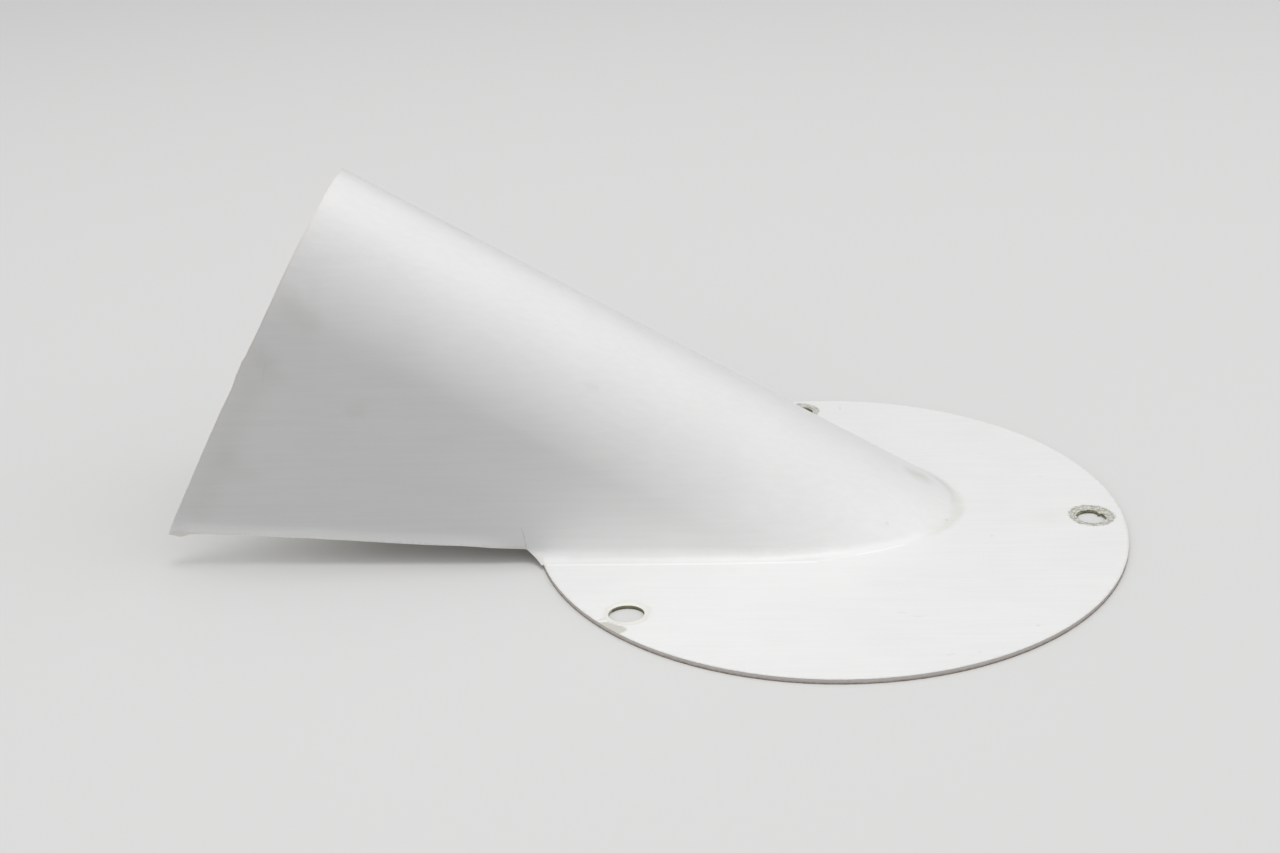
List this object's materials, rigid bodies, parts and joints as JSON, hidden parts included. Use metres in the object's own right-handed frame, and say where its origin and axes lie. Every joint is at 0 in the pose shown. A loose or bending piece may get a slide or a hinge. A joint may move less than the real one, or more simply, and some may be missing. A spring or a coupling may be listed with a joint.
{
  "type": "aircraft flap cover panel",
  "caption": "Round screw-on plate with a long open-ended hood that covers the opening where a flap's rod leaves an aircraft's wing.",
  "frame": {"origin": "middle of the round plate, on its underside, where it lies on the wing's skin", "axes": "+X along the hood towards its nose, +Z away from the wing's skin, +Y to the side that the hood is offset to"},
  "size_m": [0.2196, 0.1334, 0.0834],
  "materials": {
    "painted_laminate": "satin white paint on glass-fibre laminate"
  },
  "bodies": {
    "root": {"flap_cover": "painted_laminate"}
  },
  "joints": []
}
